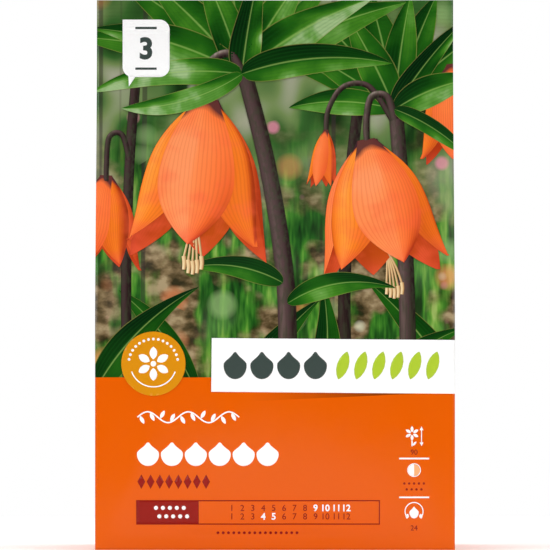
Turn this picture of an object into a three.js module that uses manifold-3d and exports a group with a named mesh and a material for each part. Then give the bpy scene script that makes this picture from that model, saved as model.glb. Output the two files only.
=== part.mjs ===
// Flower bulb packet: a printed film pouch with side gussets and a flat bottom, closed by a
// crimped seal, with one crown imperial bulb inside it on a bed of wood shavings.
// Millimetres, +Z up. The packet stands on z = 0 and its printed front faces -Y.

import * as THREE from 'three';
import { mergeVertices } from 'three/addons/utils/BufferGeometryUtils.js';
import Module from 'manifold-3d';

const wasm = await Module();
wasm.setup();

// The packet as a whole
const packWidth = 140;
const packHeight = 215;
const packDepth = 84; // over the upright side seals
const swell = 4; // how far the filled front and back stand out past the side seals
const sideSwell = 2.6; // how far the filled sides stand out between the seals

// The film and how its panels are sealed together
const wall = 0.6;
const gap = 0.3; // between two panels that are sealed face to face
const sealWidth = 5; // the upright seals at the four corners
const topSealHeight = 14;
const foldRadius = 0.55; // of the inward crease down the middle of a gusset
const foldZone = 0.9; // length of film taken up by half the crease
const shoulderHeight = 80; // below it the pouch is full, above it the sides fold in
const swellHeight = 150; // the filling's push on the film ends here
const trayLip = 6; // the base panel's upturned rim

// Air holes
const ventRadius = 3;
const ventFacets = 16;

// The bulb: 24 cm round
const bulbRadius = 38.4;
const bulbHeight = 60;
const bulbLift = 13; // shavings under it
const scaleCount = 4;
const scaleStep = 3; // how far the edge of one scale stands over the next
const scaleTwist = 0.9; // how far the edges wind round between the root plate and the top
const edgeShare = 0.12; // of a scale's width, taken up by the fall at its edge
const rootCount = 20;

// The shavings
const bedHeight = 62;
const bedGap = 0.8; // round the bulb
const curlCount = 40;

const sealTop = packHeight;
const sealBottom = packHeight - topSealHeight;
const sealHalf = foldRadius + 1.5 * wall + gap; // half the seal where four layers meet
const wallX = packWidth / 2 - sealWidth; // the plane of the side walls
const film = { roughness: 0.32, metalness: 0 };

const clamp01 = (value) => Math.min(Math.max(value, 0), 1);
const smooth = (value) => {
  const t = clamp01(value);
  return t * t * (3 - 2 * t);
};

// Repeatable draws between 0 and 1 for the roots and the shavings.
function seededDraw(seed) {
  let state = seed;
  return () => {
    state = (state * 16807) % 2147483647;
    return state / 2147483647;
  };
}

// Half the pouch's depth at its side seals, over the outside of the film.
function edgeDepth(z) {
  const t = clamp01((z - shoulderHeight) / (sealBottom - shoulderHeight));
  return sealHalf + (packDepth / 2 - sealHalf) * 0.5 * (1 + Math.cos(Math.PI * t));
}

// A sheet that leans is thicker along y than square through it.
function lean(z) {
  const step = 0.5;
  return Math.hypot(1, (edgeDepth(z + step) - edgeDepth(z - step)) / (2 * step));
}

// How far the filling pushes the front and back out at a point.
function pushOut(x, z) {
  const across = Math.cos((Math.PI / 2) * clamp01(Math.abs(x) / wallX));
  const up = Math.sin(Math.PI * clamp01((z - trayLip) / (swellHeight - trayLip)) ** 0.8);
  return swell * across * up;
}

// Depth of a gusset's own middle surface where it turns into its sealed flanges.
const gussetDepth = (z) => edgeDepth(z) - (1.5 * wall + gap) * lean(z);
const gussetLeg = gussetDepth(0);
const foldReach = (z) => Math.sqrt(Math.max(gussetLeg ** 2 - gussetDepth(z) ** 2, 0));
const innerFold = wallX - foldReach(sealTop); // how near the middle the creases come

// Outside of the front or back, half a pouch deep. In the seal the two come together
// between the gussets' creases, where only two layers of film meet.
function panelDepth(x, z) {
  const layered = smooth((Math.abs(x) - (innerFold - 6)) / 5);
  const closed = smooth((z - (sealBottom - 12)) / 12);
  const full = edgeDepth(z) + pushOut(x, z);
  const pressed = gap / 2 + wall + (full - gap / 2 - wall) * layered;
  return full + (pressed - full) * closed;
}

function steps(from, to, count) {
  return Array.from({ length: count + 1 }, (_, i) => from + ((to - from) * i) / count);
}

const filmHeights = [
  0,
  ...steps(trayLip, shoulderHeight, 5),
  ...steps(shoulderHeight, sealBottom, 12).slice(1),
  sealTop,
];
const halfColumns = [
  0,
  innerFold * 0.42,
  innerFold - 6,
  innerFold - 1,
  ...steps(innerFold - 1, wallX, 4).slice(1),
  packWidth / 2,
];
const panelColumns = [...halfColumns.slice(1).reverse().map((x) => -x), ...halfColumns];

// A closed body from two skins with the same grid, given as rows of [x, y, z] points.
function closedSheet(skinA, skinB) {
  const rows = skinA.length;
  const columns = skinA[0].length;
  const positions = [...skinA, ...skinB].flat(2);
  const at = (skin, row, column) => (skin * rows + row) * columns + column;
  const faces = [];
  const quad = (a, b, c, d) => faces.push(a, b, c, a, c, d);
  for (let row = 0; row < rows - 1; row += 1) {
    for (let column = 0; column < columns - 1; column += 1) {
      const corners = (skin) => [
        at(skin, row, column),
        at(skin, row, column + 1),
        at(skin, row + 1, column + 1),
        at(skin, row + 1, column),
      ];
      quad(...corners(0));
      const [a, b, c, d] = corners(1);
      faces.push(a, c, b, a, d, c);
    }
    const end = columns - 1;
    quad(at(0, row, 0), at(0, row + 1, 0), at(1, row + 1, 0), at(1, row, 0));
    quad(at(0, row + 1, end), at(0, row, end), at(1, row, end), at(1, row + 1, end));
  }
  for (let column = 0; column < columns - 1; column += 1) {
    const top = rows - 1;
    quad(at(0, 0, column + 1), at(0, 0, column), at(1, 0, column), at(1, 0, column + 1));
    quad(at(0, top, column), at(0, top, column + 1), at(1, top, column + 1), at(1, top, column));
  }
  return outward(positions, faces);
}

// A closed body from rings round the z axis, with a single point at each end.
function closedRings(rings) {
  const columns = rings[0].length;
  const middle = (ring) => ring.reduce(
    (sum, point) => sum.map((value, i) => value + point[i] / columns), [0, 0, 0]);
  const positions = [...rings.flat(2), ...middle(rings[0]), ...middle(rings.at(-1))];
  const first = rings.length * columns;
  const faces = [];
  for (let column = 0; column < columns; column += 1) {
    const next = (column + 1) % columns;
    faces.push(first, next, column);
    for (let ring = 0; ring < rings.length - 1; ring += 1) {
      const low = ring * columns;
      const high = low + columns;
      faces.push(low + column, low + next, high + next);
      faces.push(low + column, high + next, high + column);
    }
    const last = (rings.length - 1) * columns;
    faces.push(first + 1, last + column, last + next);
  }
  return outward(positions, faces);
}

// Faces are turned round where a body came out inside out.
function outward(positions, faces) {
  let volume = 0;
  const point = (i) => new THREE.Vector3().fromArray(positions, 3 * i);
  for (let i = 0; i < faces.length; i += 3) {
    const [a, b, c] = faces.slice(i, i + 3).map(point);
    volume += a.dot(b.cross(c));
  }
  const geometry = new THREE.BufferGeometry();
  geometry.setAttribute('position', new THREE.Float32BufferAttribute(positions, 3));
  geometry.setIndex(volume < 0 ? [...faces].reverse() : faces);
  return geometry;
}

function solidOf(geometry) {
  const bare = geometry.clone();
  bare.deleteAttribute('normal');
  bare.deleteAttribute('uv');
  const merged = mergeVertices(bare, 1e-4);
  return new wasm.Manifold(new wasm.Mesh({
    numProp: 3,
    vertProperties: new Float32Array(merged.attributes.position.array),
    triVerts: new Uint32Array(merged.index.array),
  }));
}

function geometryOf(solid) {
  const mesh = solid.getMesh();
  const geometry = new THREE.BufferGeometry();
  geometry.setAttribute('position', new THREE.BufferAttribute(mesh.vertProperties, 3));
  geometry.setIndex(new THREE.BufferAttribute(mesh.triVerts, 1));
  return geometry;
}

// The largest piece of a joined body, without the scraps and sealed pockets between curls.
function wholeBody(solid) {
  return solid.decompose().reduce((best, piece) => (piece.volume() > best.volume() ? piece : best));
}

function cutBy(geometry, cutters) {
  return geometryOf(cutters.reduce((solid, cutter) => solid.subtract(solidOf(cutter)),
    solidOf(geometry)));
}

function named(name, geometry, color, finish) {
  geometry.computeVertexNormals();
  const mesh = new THREE.Mesh(geometry, new THREE.MeshStandardMaterial({ color, ...finish }));
  mesh.name = name;
  return mesh;
}

// The front (side -1) or the back (side 1), with its margins in the upright seals.
function panelGeometry(side) {
  const skin = (inset) => filmHeights.map((z) => panelColumns.map(
    (x) => [x, side * (panelDepth(x, z) - inset * lean(z)), z]));
  return closedSheet(skin(0), skin(wall));
}

function backVents() {
  return [-34, 0, 34].map((x) => {
    const vent = new THREE.CylinderGeometry(ventRadius, ventRadius, packDepth / 2, ventFacets);
    return vent.translate(x, packDepth / 2, shoulderHeight + 34);
  });
}

// Middle line of half a gusset at one height, from its front flange to its crease, as
// [inward, y]: a straight leg that touches the round of the crease.
function gussetHalfLine(z) {
  const depth = gussetDepth(z);
  const toCentre = foldReach(z) - foldRadius;
  const span = Math.hypot(toCentre, depth);
  const angle = Math.atan2(depth, toCentre) - Math.asin(foldRadius / span);
  const round = foldRadius * (Math.PI / 2 - angle);
  const leg = Math.sqrt(span ** 2 - foldRadius ** 2);
  const push = sideSwell * Math.sin(Math.PI * clamp01((z - trayLip) / (shoulderHeight - trayLip)));
  const along = [...steps(round + leg, foldZone, 4), ...steps(foldZone, 0, 3).slice(1)];
  const line = along.map((fromCrease) => {
    const turn = Math.PI - fromCrease / foldRadius;
    const onLeg = round + leg - fromCrease;
    const [inward, y] = fromCrease < round
      ? [toCentre - foldRadius * Math.cos(turn), foldRadius * Math.sin(turn)]
      : [onLeg * Math.cos(angle), depth - onLeg * Math.sin(angle)];
    return [inward - push * Math.cos((Math.PI / 2) * (y / depth)), y];
  });
  return [[0.2 - sealWidth, depth], ...line];
}

// A side gusset: side 1 is the right-hand one seen from the front.
function gussetGeometry(side) {
  const skinA = [];
  const skinB = [];
  for (const z of filmHeights) {
    const half = gussetHalfLine(z).map(([inward, y]) => new THREE.Vector2(wallX - inward, -y));
    const back = half.slice(0, -1).reverse().map((p) => new THREE.Vector2(p.x, -p.y));
    const line = [...half, ...back];
    const offsets = line.map((point, i) => {
      const before = point.clone().sub(line[Math.max(i - 1, 0)]).normalize();
      const after = line[Math.min(i + 1, line.length - 1)].clone().sub(point).normalize();
      const along = before.clone().add(after).normalize();
      const halfWall = (0.5 * wall * lean(z)) / Math.max(along.dot(i ? before : after), 0.5);
      return new THREE.Vector2(-along.y, along.x).multiplyScalar(halfWall);
    });
    const shifted = (sign) => line.map((point, i) => [
      side * (point.x + sign * offsets[i].x), point.y + sign * offsets[i].y, z]);
    skinA.push(shifted(1));
    skinB.push(shifted(-1));
  }
  const cutters = [];
  for (const y of [-20, 20]) {
    for (const z of [30, 56]) {
      const vent = new THREE.CylinderGeometry(ventRadius, ventRadius, 12, ventFacets);
      cutters.push(vent.rotateZ(Math.PI / 2).translate(side * wallX, y, z));
    }
  }
  return cutBy(closedSheet(skinA, skinB), cutters);
}

// The base: a flat floor with its rim turned up inside the four walls.
function baseGeometry() {
  const width = 2 * (wallX - wall / 2 - gap);
  const depth = packDepth - 2 * (wall + gap);
  const outside = new THREE.BoxGeometry(width, depth, trayLip).translate(0, 0, trayLip / 2);
  const inside = new THREE.BoxGeometry(width - 2 * wall, depth - 2 * wall, trayLip);
  return cutBy(outside, [inside.translate(0, 0, trayLip / 2 + wall)]);
}

// Outline of the bulb from its root plate over the belly and into the old stem's hole.
const bulbOutline = new THREE.SplineCurve([
  new THREE.Vector2(0.15, 0.03),
  new THREE.Vector2(0.4, 0.0),
  new THREE.Vector2(0.8, 0.17),
  new THREE.Vector2(0.98, 0.42),
  new THREE.Vector2(0.9, 0.68),
  new THREE.Vector2(0.6, 0.88),
  new THREE.Vector2(0.3, 0.99),
  new THREE.Vector2(0.19, 0.96),
  new THREE.Vector2(0.14, 0.8),
  new THREE.Vector2(0.07, 0.74),
]);

// How high the bulb's surface lies across its scales, from 0 under an edge to 1 on top of one.
function scaleRelief(across) {
  const along = (scaleCount * across) / (2 * Math.PI) % 1;
  return along < 1 - edgeShare ? along / (1 - edgeShare) : (1 - along) / edgeShare;
}

// The grid winds with the scales, so that their edges run along its columns.
function bulbRings(rings, columns) {
  return bulbOutline.getPoints(rings).map(({ x: out, y: up }) => {
    const wind = ((2 * Math.PI) / scaleCount) * scaleTwist * Math.sin(1.4 * (up - 0.5));
    return steps(0, 2 * Math.PI, columns).slice(0, -1).map((across) => {
      const turn = across - wind;
      const under = scaleStep * (1 - scaleRelief(across)) * smooth(out * 1.6);
      const radius = out * bulbRadius - under;
      const lobe = 0.02 * out * Math.cos(2 * turn + 0.6);
      return [
        radius * Math.cos(turn) * (1 + lobe),
        radius * Math.sin(turn) * (1 - lobe),
        bulbLift + bulbHeight * (up + 0.02 * Math.sin(scaleCount * turn + 4 * up) * smooth(out)),
      ];
    });
  });
}

// A dry root: a tapering crooked stem sunk in the root plate.
function rootGeometry(draw) {
  const turn = 2 * Math.PI * draw();
  const start = 4 + 9 * draw();
  const spread = 3 + 4 * draw();
  const drop = 5 + 3.5 * draw();
  const rings = steps(0, 1, 3).map((t) => {
    const out = start + spread * t * t;
    const radius = 1.3 - 0.6 * t;
    const swing = turn + 0.3 * Math.sin(3 * t);
    return steps(0, 2 * Math.PI, 5).slice(1).map((side) => [
      out * Math.cos(swing) + radius * Math.cos(side),
      out * Math.sin(swing) + radius * Math.sin(side),
      bulbLift + 3 - (drop + 3) * t,
    ]);
  });
  return closedRings(rings);
}

function bulbGeometry() {
  const draw = seededDraw(71);
  const roots = Array.from({ length: rootCount }, () => solidOf(rootGeometry(draw)));
  return geometryOf(roots.reduce((solid, root) => solid.add(root),
    solidOf(closedRings(bulbRings(22, 64)))));
}

// The bed's outside: a soft-cornered block with an uneven top and sides.
function bedRings() {
  const floor = wall + gap;
  const halfWidth = wallX - 1.5 * wall - 2 * gap - 0.3;
  const halfDepth = packDepth / 2 - 2 * wall - 2 * gap;
  const corner = 14; // sharpness of the block's corners
  const rough = (turn, z) => 0.5 * (1 + Math.sin(13 * turn + 0.3 * z) * Math.sin(0.5 * z + 5 * turn));
  const ring = (size, z, heap) => steps(0, 2 * Math.PI, 44).slice(1).map((turn) => {
    const c = Math.cos(turn);
    const s = Math.sin(turn);
    const reach = (Math.abs(c / halfWidth) ** corner + Math.abs(s / halfDepth) ** corner)
      ** (-1 / corner);
    const inset = 1.4 * rough(turn, z) * smooth((z - trayLip) / 6);
    const radius = size * (reach - inset);
    const top = heap * (2.2 * Math.sin(0.19 * radius * c + 1) * Math.sin(0.23 * radius * s + 2)
      + 1.6 * Math.sin(7 * turn + 0.4 * radius));
    return [radius * c, radius * s, z + top];
  });
  const sides = [floor, trayLip, ...steps(14, bedHeight - 6, 5)].map((z) => ring(1, z, 0));
  const top = [0.98, 0.9, 0.78, 0.66].map((size, i) => ring(size, bedHeight - 3 + 1.5 * i, 1));
  return [ring(0.5, floor, 0), ...sides, ...top];
}

// Room for the bulb and its roots, open at the top of the bed.
function bulbNest() {
  const rootRoom = 22;
  const uneven = 1.7; // the bulb's surface rises and falls by this much
  const profile = [new THREE.Vector2(0, 4), new THREE.Vector2(rootRoom, 4)];
  for (const { x: out, y: up } of bulbOutline.getPoints(20)) {
    const z = bulbLift + bulbHeight * up + (up < 0.42 ? -uneven : uneven);
    if (out * bulbRadius > rootRoom && z < bedHeight) {
      profile.push(new THREE.Vector2(out * bulbRadius * 1.02 + bedGap, z));
    }
  }
  profile.push(new THREE.Vector2(profile.at(-1).x, packHeight / 2));
  profile.push(new THREE.Vector2(0, packHeight / 2));
  return new THREE.LatheGeometry(profile, 40).rotateX(Math.PI / 2);
}

// One curled shaving: a strip bent round an arc, lying at any tilt.
function curlGeometry(draw) {
  const radius = 3.4 + 3 * draw();
  const width = 4 + 4 * draw();
  const sweep = Math.PI * (1.1 + 0.5 * draw());
  const thick = 0.8;
  const skin = (r) => steps(0, sweep, 5).map((turn) => [-0.5, 0.5].map(
    (side) => [r * Math.cos(turn), side * width, r * Math.sin(turn)]));
  const strip = closedSheet(skin(radius), skin(radius - thick));
  strip.rotateY(2 * Math.PI * draw());
  strip.rotateX(0.8 * (draw() - 0.5));
  strip.rotateZ(2 * Math.PI * draw());
  return strip;
}

function bedGeometry() {
  const draw = seededDraw(2024);
  const margin = 9;
  const halfWidth = wallX - margin;
  const halfDepth = packDepth / 2 - margin;
  let bed = solidOf(closedRings(bedRings()));
  let placed = 0;
  while (placed < curlCount) {
    const x = halfWidth * (2 * draw() - 1);
    const y = halfDepth * (2 * draw() - 1);
    const lift = 2.5 * draw();
    if (Math.hypot(x, y) > bulbRadius * 0.8) {
      bed = bed.add(solidOf(curlGeometry(draw).translate(x, y, bedHeight + lift)));
      placed += 1;
    }
  }
  return geometryOf(wholeBody(bed.subtract(solidOf(bulbNest()))));
}

const packet = new THREE.Group();
packet.add(
  named('front_panel', panelGeometry(-1), '#ec6303', film),
  named('back_panel', cutBy(panelGeometry(1), backVents()), '#f08a3c', film),
  named('side_gusset_left', gussetGeometry(-1), '#3f6f2c', film),
  named('side_gusset_right', gussetGeometry(1), '#3f6f2c', film),
  named('base_panel', baseGeometry(), '#e9e4d8', film),
  named('crown_imperial_bulb', bulbGeometry(), '#d9b98a', { roughness: 0.7, metalness: 0 }),
  named('wood_shavings', bedGeometry(), '#e0c08c', { roughness: 0.85, metalness: 0 }),
);

export default packet;
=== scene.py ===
import math

import bmesh
import bpy
from mathutils import Matrix, Vector, noise


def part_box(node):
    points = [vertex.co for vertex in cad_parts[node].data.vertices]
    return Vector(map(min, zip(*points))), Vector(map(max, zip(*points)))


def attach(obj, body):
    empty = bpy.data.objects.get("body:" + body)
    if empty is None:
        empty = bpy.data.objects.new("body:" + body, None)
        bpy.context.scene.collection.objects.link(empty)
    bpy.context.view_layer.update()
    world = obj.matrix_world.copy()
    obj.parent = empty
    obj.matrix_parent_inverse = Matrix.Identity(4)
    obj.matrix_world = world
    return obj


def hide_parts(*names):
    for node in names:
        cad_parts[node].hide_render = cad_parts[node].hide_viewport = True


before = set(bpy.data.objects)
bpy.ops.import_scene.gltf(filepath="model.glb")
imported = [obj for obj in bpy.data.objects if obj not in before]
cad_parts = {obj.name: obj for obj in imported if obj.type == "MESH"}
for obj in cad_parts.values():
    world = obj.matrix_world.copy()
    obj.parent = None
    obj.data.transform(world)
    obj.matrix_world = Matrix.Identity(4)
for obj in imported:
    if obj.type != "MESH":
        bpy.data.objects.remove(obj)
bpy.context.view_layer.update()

# Every size below is in millimetres, and MM turns it into Blender's metres.
MM = 0.001
front_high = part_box("front_panel")[1] / MM
back_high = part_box("back_panel")[1] / MM
base_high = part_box("base_panel")[1] / MM

PACK_WIDTH = 2 * front_high.x
PACK_HEIGHT = front_high.z
SEAL_WIDTH = 5.0
TOP_SEAL = 14.0
SHOULDER = 80.0          # below it the pouch is full, above it the sides fold in
SWELL = 4.0              # how far the filling pushes the front and back out
SIDE_SWELL = 2.6
SWELL_END = 150.0
TRAY_LIP = 6.0
HALF_DEPTH = back_high.y - SWELL
WALL_X = PACK_WIDTH / 2 - SEAL_WIDTH
SEAL_BOTTOM = PACK_HEIGHT - TOP_SEAL

FILM = 0.25              # the laminate, drawn about twice as thick as it is
LAYER_GAP = 0.06
FOLD_RADIUS = 0.2
FOLD_ZONE = 1.0          # how far from a gusset's crease its grid is finer
GUSSET_SLACK = 1.6       # how far the gussets wave in and out
HEAD_BOW = 1.5           # how far the head of the pouch bows
SEAL_HALF = FOLD_RADIUS + 1.5 * FILM + LAYER_GAP

CRIMP_PITCH = 1.5        # ridges that the sealing jaws leave
CRIMP_DEPTH = 0.1

VENT_RADIUS = 3.0        # punched air holes, as the CAD has them
BACK_VENTS = ((-34.0, 114.0), (0.0, 114.0), (34.0, 114.0))      # x and z
SIDE_VENTS = ((-20.0, 30.0), (20.0, 30.0), (-20.0, 56.0), (20.0, 56.0))     # y and z

PRINT_LIFT = 0.08        # print layers lie just proud of the film, so that each one shows
LAYER_STEP = 0.03
OVER_PICTURE = 7         # print layers from here on stay clear of the picture
PICTURE_DEPTH = 110.0    # the drawn picture reaches this far behind and in front of its middle
PICTURE_FLAT = 0.0024    # share of its depth that is left in the print

PANEL_TOP = 67.2         # the plain orange panel ends here and the picture begins
BACK_PANEL_TOP = 150.0   # the same on the back

ORANGE = "#E35D00"
WHITE = "#FFFFFF"
DARK_RED = "#921000"
SLATE = "#3F4B47"
LIME = "#AFCB37"
OCHRE = "#D98E12"


# ---------------------------------------------------------------- small tools

def clamp01(value):
    return min(max(value, 0.0), 1.0)


def smooth(value):
    t = clamp01(value)
    return t * t * (3 - 2 * t)


def mix(a, b, share):
    return a + (b - a) * share


def linear(hex_colour):
    """An sRGB hex colour as the linear colour that shaders take."""
    channels = [int(hex_colour[i:i + 2], 16) / 255 for i in (1, 3, 5)]
    return [c / 12.92 if c <= 0.04045 else ((c + 0.055) / 1.055) ** 2.4 for c in channels] + [1.0]


def feed(tree, shader, inputs):
    """Gives a shader node its inputs. They are links, numbers or hex colours, by name or in the
    order of the sockets in use."""
    in_use = [socket for socket in shader.inputs if socket.enabled]
    for place, value in inputs.items() if isinstance(inputs, dict) else enumerate(inputs):
        socket = in_use[place] if isinstance(place, int) else shader.inputs[place]
        if isinstance(value, bpy.types.NodeSocket):
            tree.links.new(value, socket)
        else:
            socket.default_value = linear(value) if isinstance(value, str) else value


def add(tree, kind, inputs=(), out=0, stops=(), **settings):
    """Adds a shader node, feeds it and gives back one of its outputs, by number or name.

    stops are the positions and hex colours of a colour ramp; settings are the node's own."""
    made = tree.nodes.new("ShaderNode" + kind)
    for name, value in settings.items():
        setattr(made, name, value)
    feed(tree, made, inputs)
    if stops:
        marks = made.color_ramp.elements
        while len(marks) < len(stops):
            marks.new(0.5)
        for mark, (position, colour) in zip(marks, stops):
            mark.position = position
            mark.color = linear(colour)
    if isinstance(out, str):
        return made.outputs[out]
    return [socket for socket in made.outputs if socket.enabled][out]


def tinted(tree, colour, *tints):
    """Lays tints over a colour, one after another. Each has its share before it, or a value
    with the two ends of its range and the greatest share."""
    for share, *growth, tint in tints:
        if growth:
            start, end, most = growth
            share = add(tree, "MapRange", (share, start, end, 0, most))
        colour = add(tree, "Mix", (share, colour, tint), data_type="RGBA")
    return colour


def new_material(name):
    """A new material with its tree, its surface shader and the tree's Object coordinates in mm."""
    made = bpy.data.materials.new(name)
    made.use_nodes = True
    tree = made.node_tree
    place = add(tree, "TexCoord", out="Object")
    in_mm = add(tree, "VectorMath", (place, (1000, 1000, 1000)), operation="MULTIPLY")
    return made, tree, tree.nodes["Principled BSDF"], in_mm


def head_bow(x, z):
    """How far the pouch's soft head, all its layers together, bows towards the back."""
    wave = 0.35 * math.sin(x / 17 + 1) * smooth((z - 165) / 45)
    return smooth((z - 100) / 105) * (HEAD_BOW * math.cos(x / 38 + 0.3) - 0.7 + wave)


def put_in_scene(name, data):
    made = bpy.data.objects.new(name, data)
    bpy.context.scene.collection.objects.link(made)
    return made


def keep_piece(name, bm, material, slot, thickness=0.0, offset=-1.0, replaces=()):
    """Turns a bmesh in mm into a finished piece that rides on the packet."""
    for corner in bm.verts:
        corner.co.y += head_bow(corner.co.x, corner.co.z)
    bmesh.ops.scale(bm, vec=(MM, MM, MM), verts=bm.verts)
    mesh = bpy.data.meshes.new(name)
    for face in bm.faces:
        face.smooth = True
    bm.to_mesh(mesh)
    bm.free()
    piece = put_in_scene(name, mesh)
    mesh.materials.append(material)
    if thickness:
        wall = piece.modifiers.new("film", "SOLIDIFY")
        wall.thickness = thickness * MM
        wall.offset = offset
        wall.use_even_offset = True
    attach(piece, "root")
    if replaces:
        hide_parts(*replaces)
    return piece


# ---------------------------------------------------------------- the pouch's form

def edge_depth(z):
    """Half the pouch's depth at its side seals, over the outside of the film."""
    t = clamp01((z - SHOULDER) / (SEAL_BOTTOM - SHOULDER))
    return SEAL_HALF + (HALF_DEPTH - SEAL_HALF) * 0.5 * (1 + math.cos(math.pi * t))


def push_out(x, z):
    across = math.cos(math.pi / 2 * clamp01(abs(x) / WALL_X))
    share = clamp01((z - TRAY_LIP) / (SWELL_END - TRAY_LIP))
    up = math.sin(math.pi * share ** 0.8) * smooth((1 - share) * 6)
    return SWELL * across * up


def gusset_depth(z):
    return edge_depth(z) - 1.5 * FILM - LAYER_GAP


GUSSET_LEG = gusset_depth(0)


def fold_reach(z):
    return math.sqrt(max(GUSSET_LEG ** 2 - gusset_depth(z) ** 2, 0))


INNER_FOLD = WALL_X - fold_reach(PACK_HEIGHT)

# Soft folds in the film of the front (-1) and the back (1): middle (x, z), slope in degrees,
# half length, half width, height.
FOLDS = {
    -1: (
        (-44, 170, 66, 30, 8.0, 0.8),
        (45, 174, -68, 28, 8.0, 0.8),
        (-12, 180, 84, 16, 7.0, 0.45),
        (22, 186, -82, 14, 7.0, 0.4),
        (4, 121, 4, 44, 12.0, -0.45),
        (-50, 92, 38, 20, 7.0, 0.45),
        (53, 96, -42, 18, 7.0, 0.4),
        (-56, 28, 74, 19, 5.0, 0.3),
        (57, 34, -70, 20, 5.0, 0.3),
    ),
    1: (
        (-44, 168, 60, 32, 5.5, 1.1),
        (48, 174, -64, 28, 5.0, 1.1),
        (12, 186, 78, 15, 4.0, 0.7),
        (-8, 128, -6, 46, 9.0, -0.9),
        (-52, 88, 44, 22, 5.0, 0.8),
        (50, 84, -36, 22, 5.0, 0.8),
        (2, 34, 3, 38, 9.0, 0.6),
    ),
}


def soft_folds(x, z, folds):
    """How far soft folds lift the film, with nothing left of them at the seals."""
    lift = 0.0
    for x0, z0, slope, half_length, half_width, height in folds:
        along = Vector((math.cos(math.radians(slope)), math.sin(math.radians(slope))))
        away = Vector((x - x0, z - z0))
        length = away.dot(along) / half_length
        width = away.cross(along) / half_width
        lift += height * math.exp(-width ** 2 - length ** 4)
    slack = 0.25 * noise.noise(Vector((x / 34, z / 46, len(folds))))
    near_side = smooth((WALL_X - abs(x)) / 9)
    near_seal = smooth((SEAL_BOTTOM - z) / 12) * smooth(z / 14)
    return (lift + slack) * near_side * near_seal


def crimp(z):
    """Ridges of the top seal."""
    into = smooth((z - SEAL_BOTTOM) / 1.0)
    return CRIMP_DEPTH * into * 0.5 * (1 - math.cos(2 * math.pi * (z - SEAL_BOTTOM) / CRIMP_PITCH))


def panel_depth(side, x, z):
    """How far out the front (side -1) or the back (side 1) lies."""
    layered = smooth((abs(x) - (INNER_FOLD - 6)) / 5)
    closed = smooth((z - (SEAL_BOTTOM - 12)) / 12)
    full = edge_depth(z) + push_out(x, z)
    pressed = mix(LAYER_GAP / 2 + FILM, full, layered)
    return mix(full, pressed, closed) + soft_folds(x, z, FOLDS[side]) + crimp(z)


CELL = 1.25              # of the film's grid, so that the side seals end on a line of it
SEAL_CELL = 0.25         # in the crimped seal
BODY_ROWS = round(SEAL_BOTTOM / CELL)
SEAL_ROWS = round(TOP_SEAL / SEAL_CELL)


def film_height(row):
    if row <= BODY_ROWS:
        return SEAL_BOTTOM * row / BODY_ROWS
    return SEAL_BOTTOM + TOP_SEAL * (row - BODY_ROWS) / SEAL_ROWS


def new_sheet(*layers):
    """An empty bmesh for sheets with UVs, and with layers of numbers for their corners."""
    bm = bmesh.new()
    bm.loops.layers.uv.new("UVMap")
    for layer in layers:
        bm.verts.layers.float.new(layer)
    return bm


def grid_sheet(bm, columns, rows, place):
    """Adds a grid and puts each corner where place(u, v) says: u goes from -1 to 1 across it
    and v from 0 to 1 along it."""
    made = bmesh.ops.create_grid(
        bm, x_segments=columns, y_segments=rows, size=1, calc_uvs=True)["verts"]
    for corner in made:
        u = corner.co.x
        v = (corner.co.y + 1) / 2
        corner.co = place(u, v)
    return made


def punch(bm, vents, side_view=False):
    """Punches air holes through a sheet, at places seen from the front or from the side."""
    for first, second in vents:
        def away(corner):
            across = corner.co.y if side_view else corner.co.x
            return Vector((across - first, corner.co.z - second))

        inside = [corner for corner in bm.verts if away(corner).length < VENT_RADIUS]
        around = {other for corner in inside for face in corner.link_faces for other in face.verts}
        around -= set(inside)
        bmesh.ops.delete(bm, geom=inside, context="VERTS")
        for corner in around:
            place = away(corner).normalized() * VENT_RADIUS + Vector((first, second))
            if side_view:
                corner.co.y = place.x
            else:
                corner.co.x = place.x
            corner.co.z = place.y


def panel_film(side):
    """The front (side -1) or the back (side 1)."""
    bm = new_sheet()
    columns = round(PACK_WIDTH / CELL)

    def place(u, v):
        x = u * PACK_WIDTH / 2
        z = film_height(round(v * (BODY_ROWS + SEAL_ROWS)))
        return Vector((x, side * panel_depth(side, x, z), z))

    grid_sheet(bm, columns, BODY_ROWS + SEAL_ROWS, place)
    if side > 0:
        bmesh.ops.reverse_faces(bm, faces=bm.faces)
        punch(bm, BACK_VENTS)
    return bm


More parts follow.
